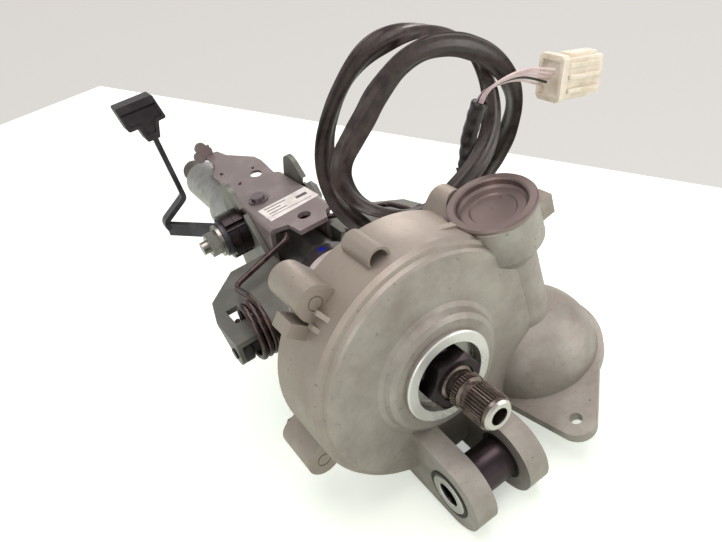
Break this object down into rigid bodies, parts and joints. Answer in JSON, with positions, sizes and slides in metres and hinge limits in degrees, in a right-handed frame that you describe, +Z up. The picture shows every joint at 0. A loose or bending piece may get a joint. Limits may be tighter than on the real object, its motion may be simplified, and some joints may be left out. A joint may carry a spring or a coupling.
{
  "type": "steering column",
  "caption": "Power assist steering column with worm gear case, tilt bracket, clamp lever, springs and sensor harness.",
  "frame": {"origin": "middle of the pivot bolt bore, between the two clevis lugs of the gear case", "axes": "+X along the pivot bolt towards the worm side, +Y along the column from the joint spline to the steering wheel end, +Z up, towards the worm plug"},
  "size_m": [0.247, 0.3712, 0.2047],
  "materials": {
    "cast_housing": "as-cast aluminium, sand-blasted",
    "zinc_steel": "zinc plated",
    "bearing_steel": "ground",
    "plug_steel": "turned",
    "shaft_steel": "machined",
    "dark_steel": "black oxide",
    "wheel_nylon": "moulded",
    "bush_plastic": "moulded",
    "black_paint": "satin electrocoat",
    "black_plastic": "moulded",
    "bracket_coating": "phosphated and oiled",
    "capsule_resin": "moulded",
    "spring_steel": "oil tempered wire",
    "grommet_rubber": "moulded",
    "harness_vinyl": "taped vinyl tube",
    "lead_vinyl": "extruded",
    "connector_nylon": "natural nylon"
  },
  "bodies": {
    "column": {"gear_housing": "cast_housing", "housing_rear_cover": "cast_housing", "housing_bolts": "zinc_steel", "output_bearings": "bearing_steel", "worm_bearings": "bearing_steel", "worm_plug": "plug_steel", "pivot_bushes": "bush_plastic", "lower_jacket": "black_paint", "sensor_coil": "black_plastic", "upper_jacket": "black_paint", "upper_bearing": "bearing_steel", "distance_bracket": "black_paint", "bracket_rivet": "zinc_steel", "tilt_bolt": "zinc_steel", "fixed_cam": "dark_steel", "thrust_washer": "zinc_steel", "tilt_nut": "zinc_steel", "switch_bracket": "black_paint", "harness_grommet": "grommet_rubber", "harness_tube": "harness_vinyl", "harness_sleeve": "harness_vinyl", "harness_leads": "lead_vinyl", "harness_connector": "connector_nylon"},
    "mount_bracket": {"breakaway_bracket": "bracket_coating", "capsules": "capsule_resin", "spring_pins": "dark_steel", "spring_sleeves": "black_plastic"},
    "pivot": {"pivot_sleeve": "zinc_steel"},
    "springs": {"tilt_springs": "spring_steel"},
    "lever": {"lever_arm": "black_paint", "lever_knob": "black_plastic", "moving_cam": "dark_steel"},
    "output": {"output_shaft": "shaft_steel", "output_nut": "dark_steel", "wheel_hub": "shaft_steel", "wheel_rim": "wheel_nylon"},
    "worm": {"worm_shaft": "shaft_steel", "worm_coupling": "dark_steel"},
    "steering": {"upper_shaft": "shaft_steel", "torsion_bar": "shaft_steel", "sensor_sleeve": "shaft_steel"}
  },
  "joints": [
    {"name": "tilt", "type": "hinge", "parent": "column", "child": "mount_bracket", "pos_m": [0, 0, 0], "axis": [1, 0, 0], "range_deg": [-4, 1.5]},
    {"name": "pivot_turn", "type": "hinge", "parent": "column", "child": "pivot", "pos_m": [0, 0, 0], "axis": [1, 0, 0], "range_deg": [-4, 1.5]},
    {"name": "spring_turn", "type": "hinge", "parent": "mount_bracket", "child": "springs", "pos_m": [0, 0.101, 0.06], "axis": [1, 0, 0], "range_deg": [-4.8, 12.8]},
    {"name": "lever_swing", "type": "hinge", "parent": "column", "child": "lever", "pos_m": [0, 0.18, 0.078], "axis": [1, 0, 0], "range_deg": [-40, 0]},
    {"name": "output_spin", "type": "hinge", "parent": "column", "child": "output", "pos_m": [0, 0.0393, 0.052], "axis": [0, 1, 0], "continuous": true},
    {"name": "worm_spin", "type": "hinge", "parent": "column", "child": "worm", "pos_m": [0.06222, 0.0393, 0.06186], "axis": [-0.1564, 0, 0.9877], "continuous": true},
    {"name": "steer_twist", "type": "hinge", "parent": "output", "child": "steering", "pos_m": [0, 0.2, 0.052], "axis": [0, 1, 0], "range_deg": [-4.5, 4.5], "stiffness_Nm_per_rad": 115}
  ],
  "couplings": [
    {"joint": "pivot_turn", "follows": "tilt", "ratio": 1},
    {"joint": "spring_turn", "follows": "tilt", "ratio": -3.2},
    {"joint": "worm_spin", "follows": "output_spin", "ratio": 20.5}
  ]
}
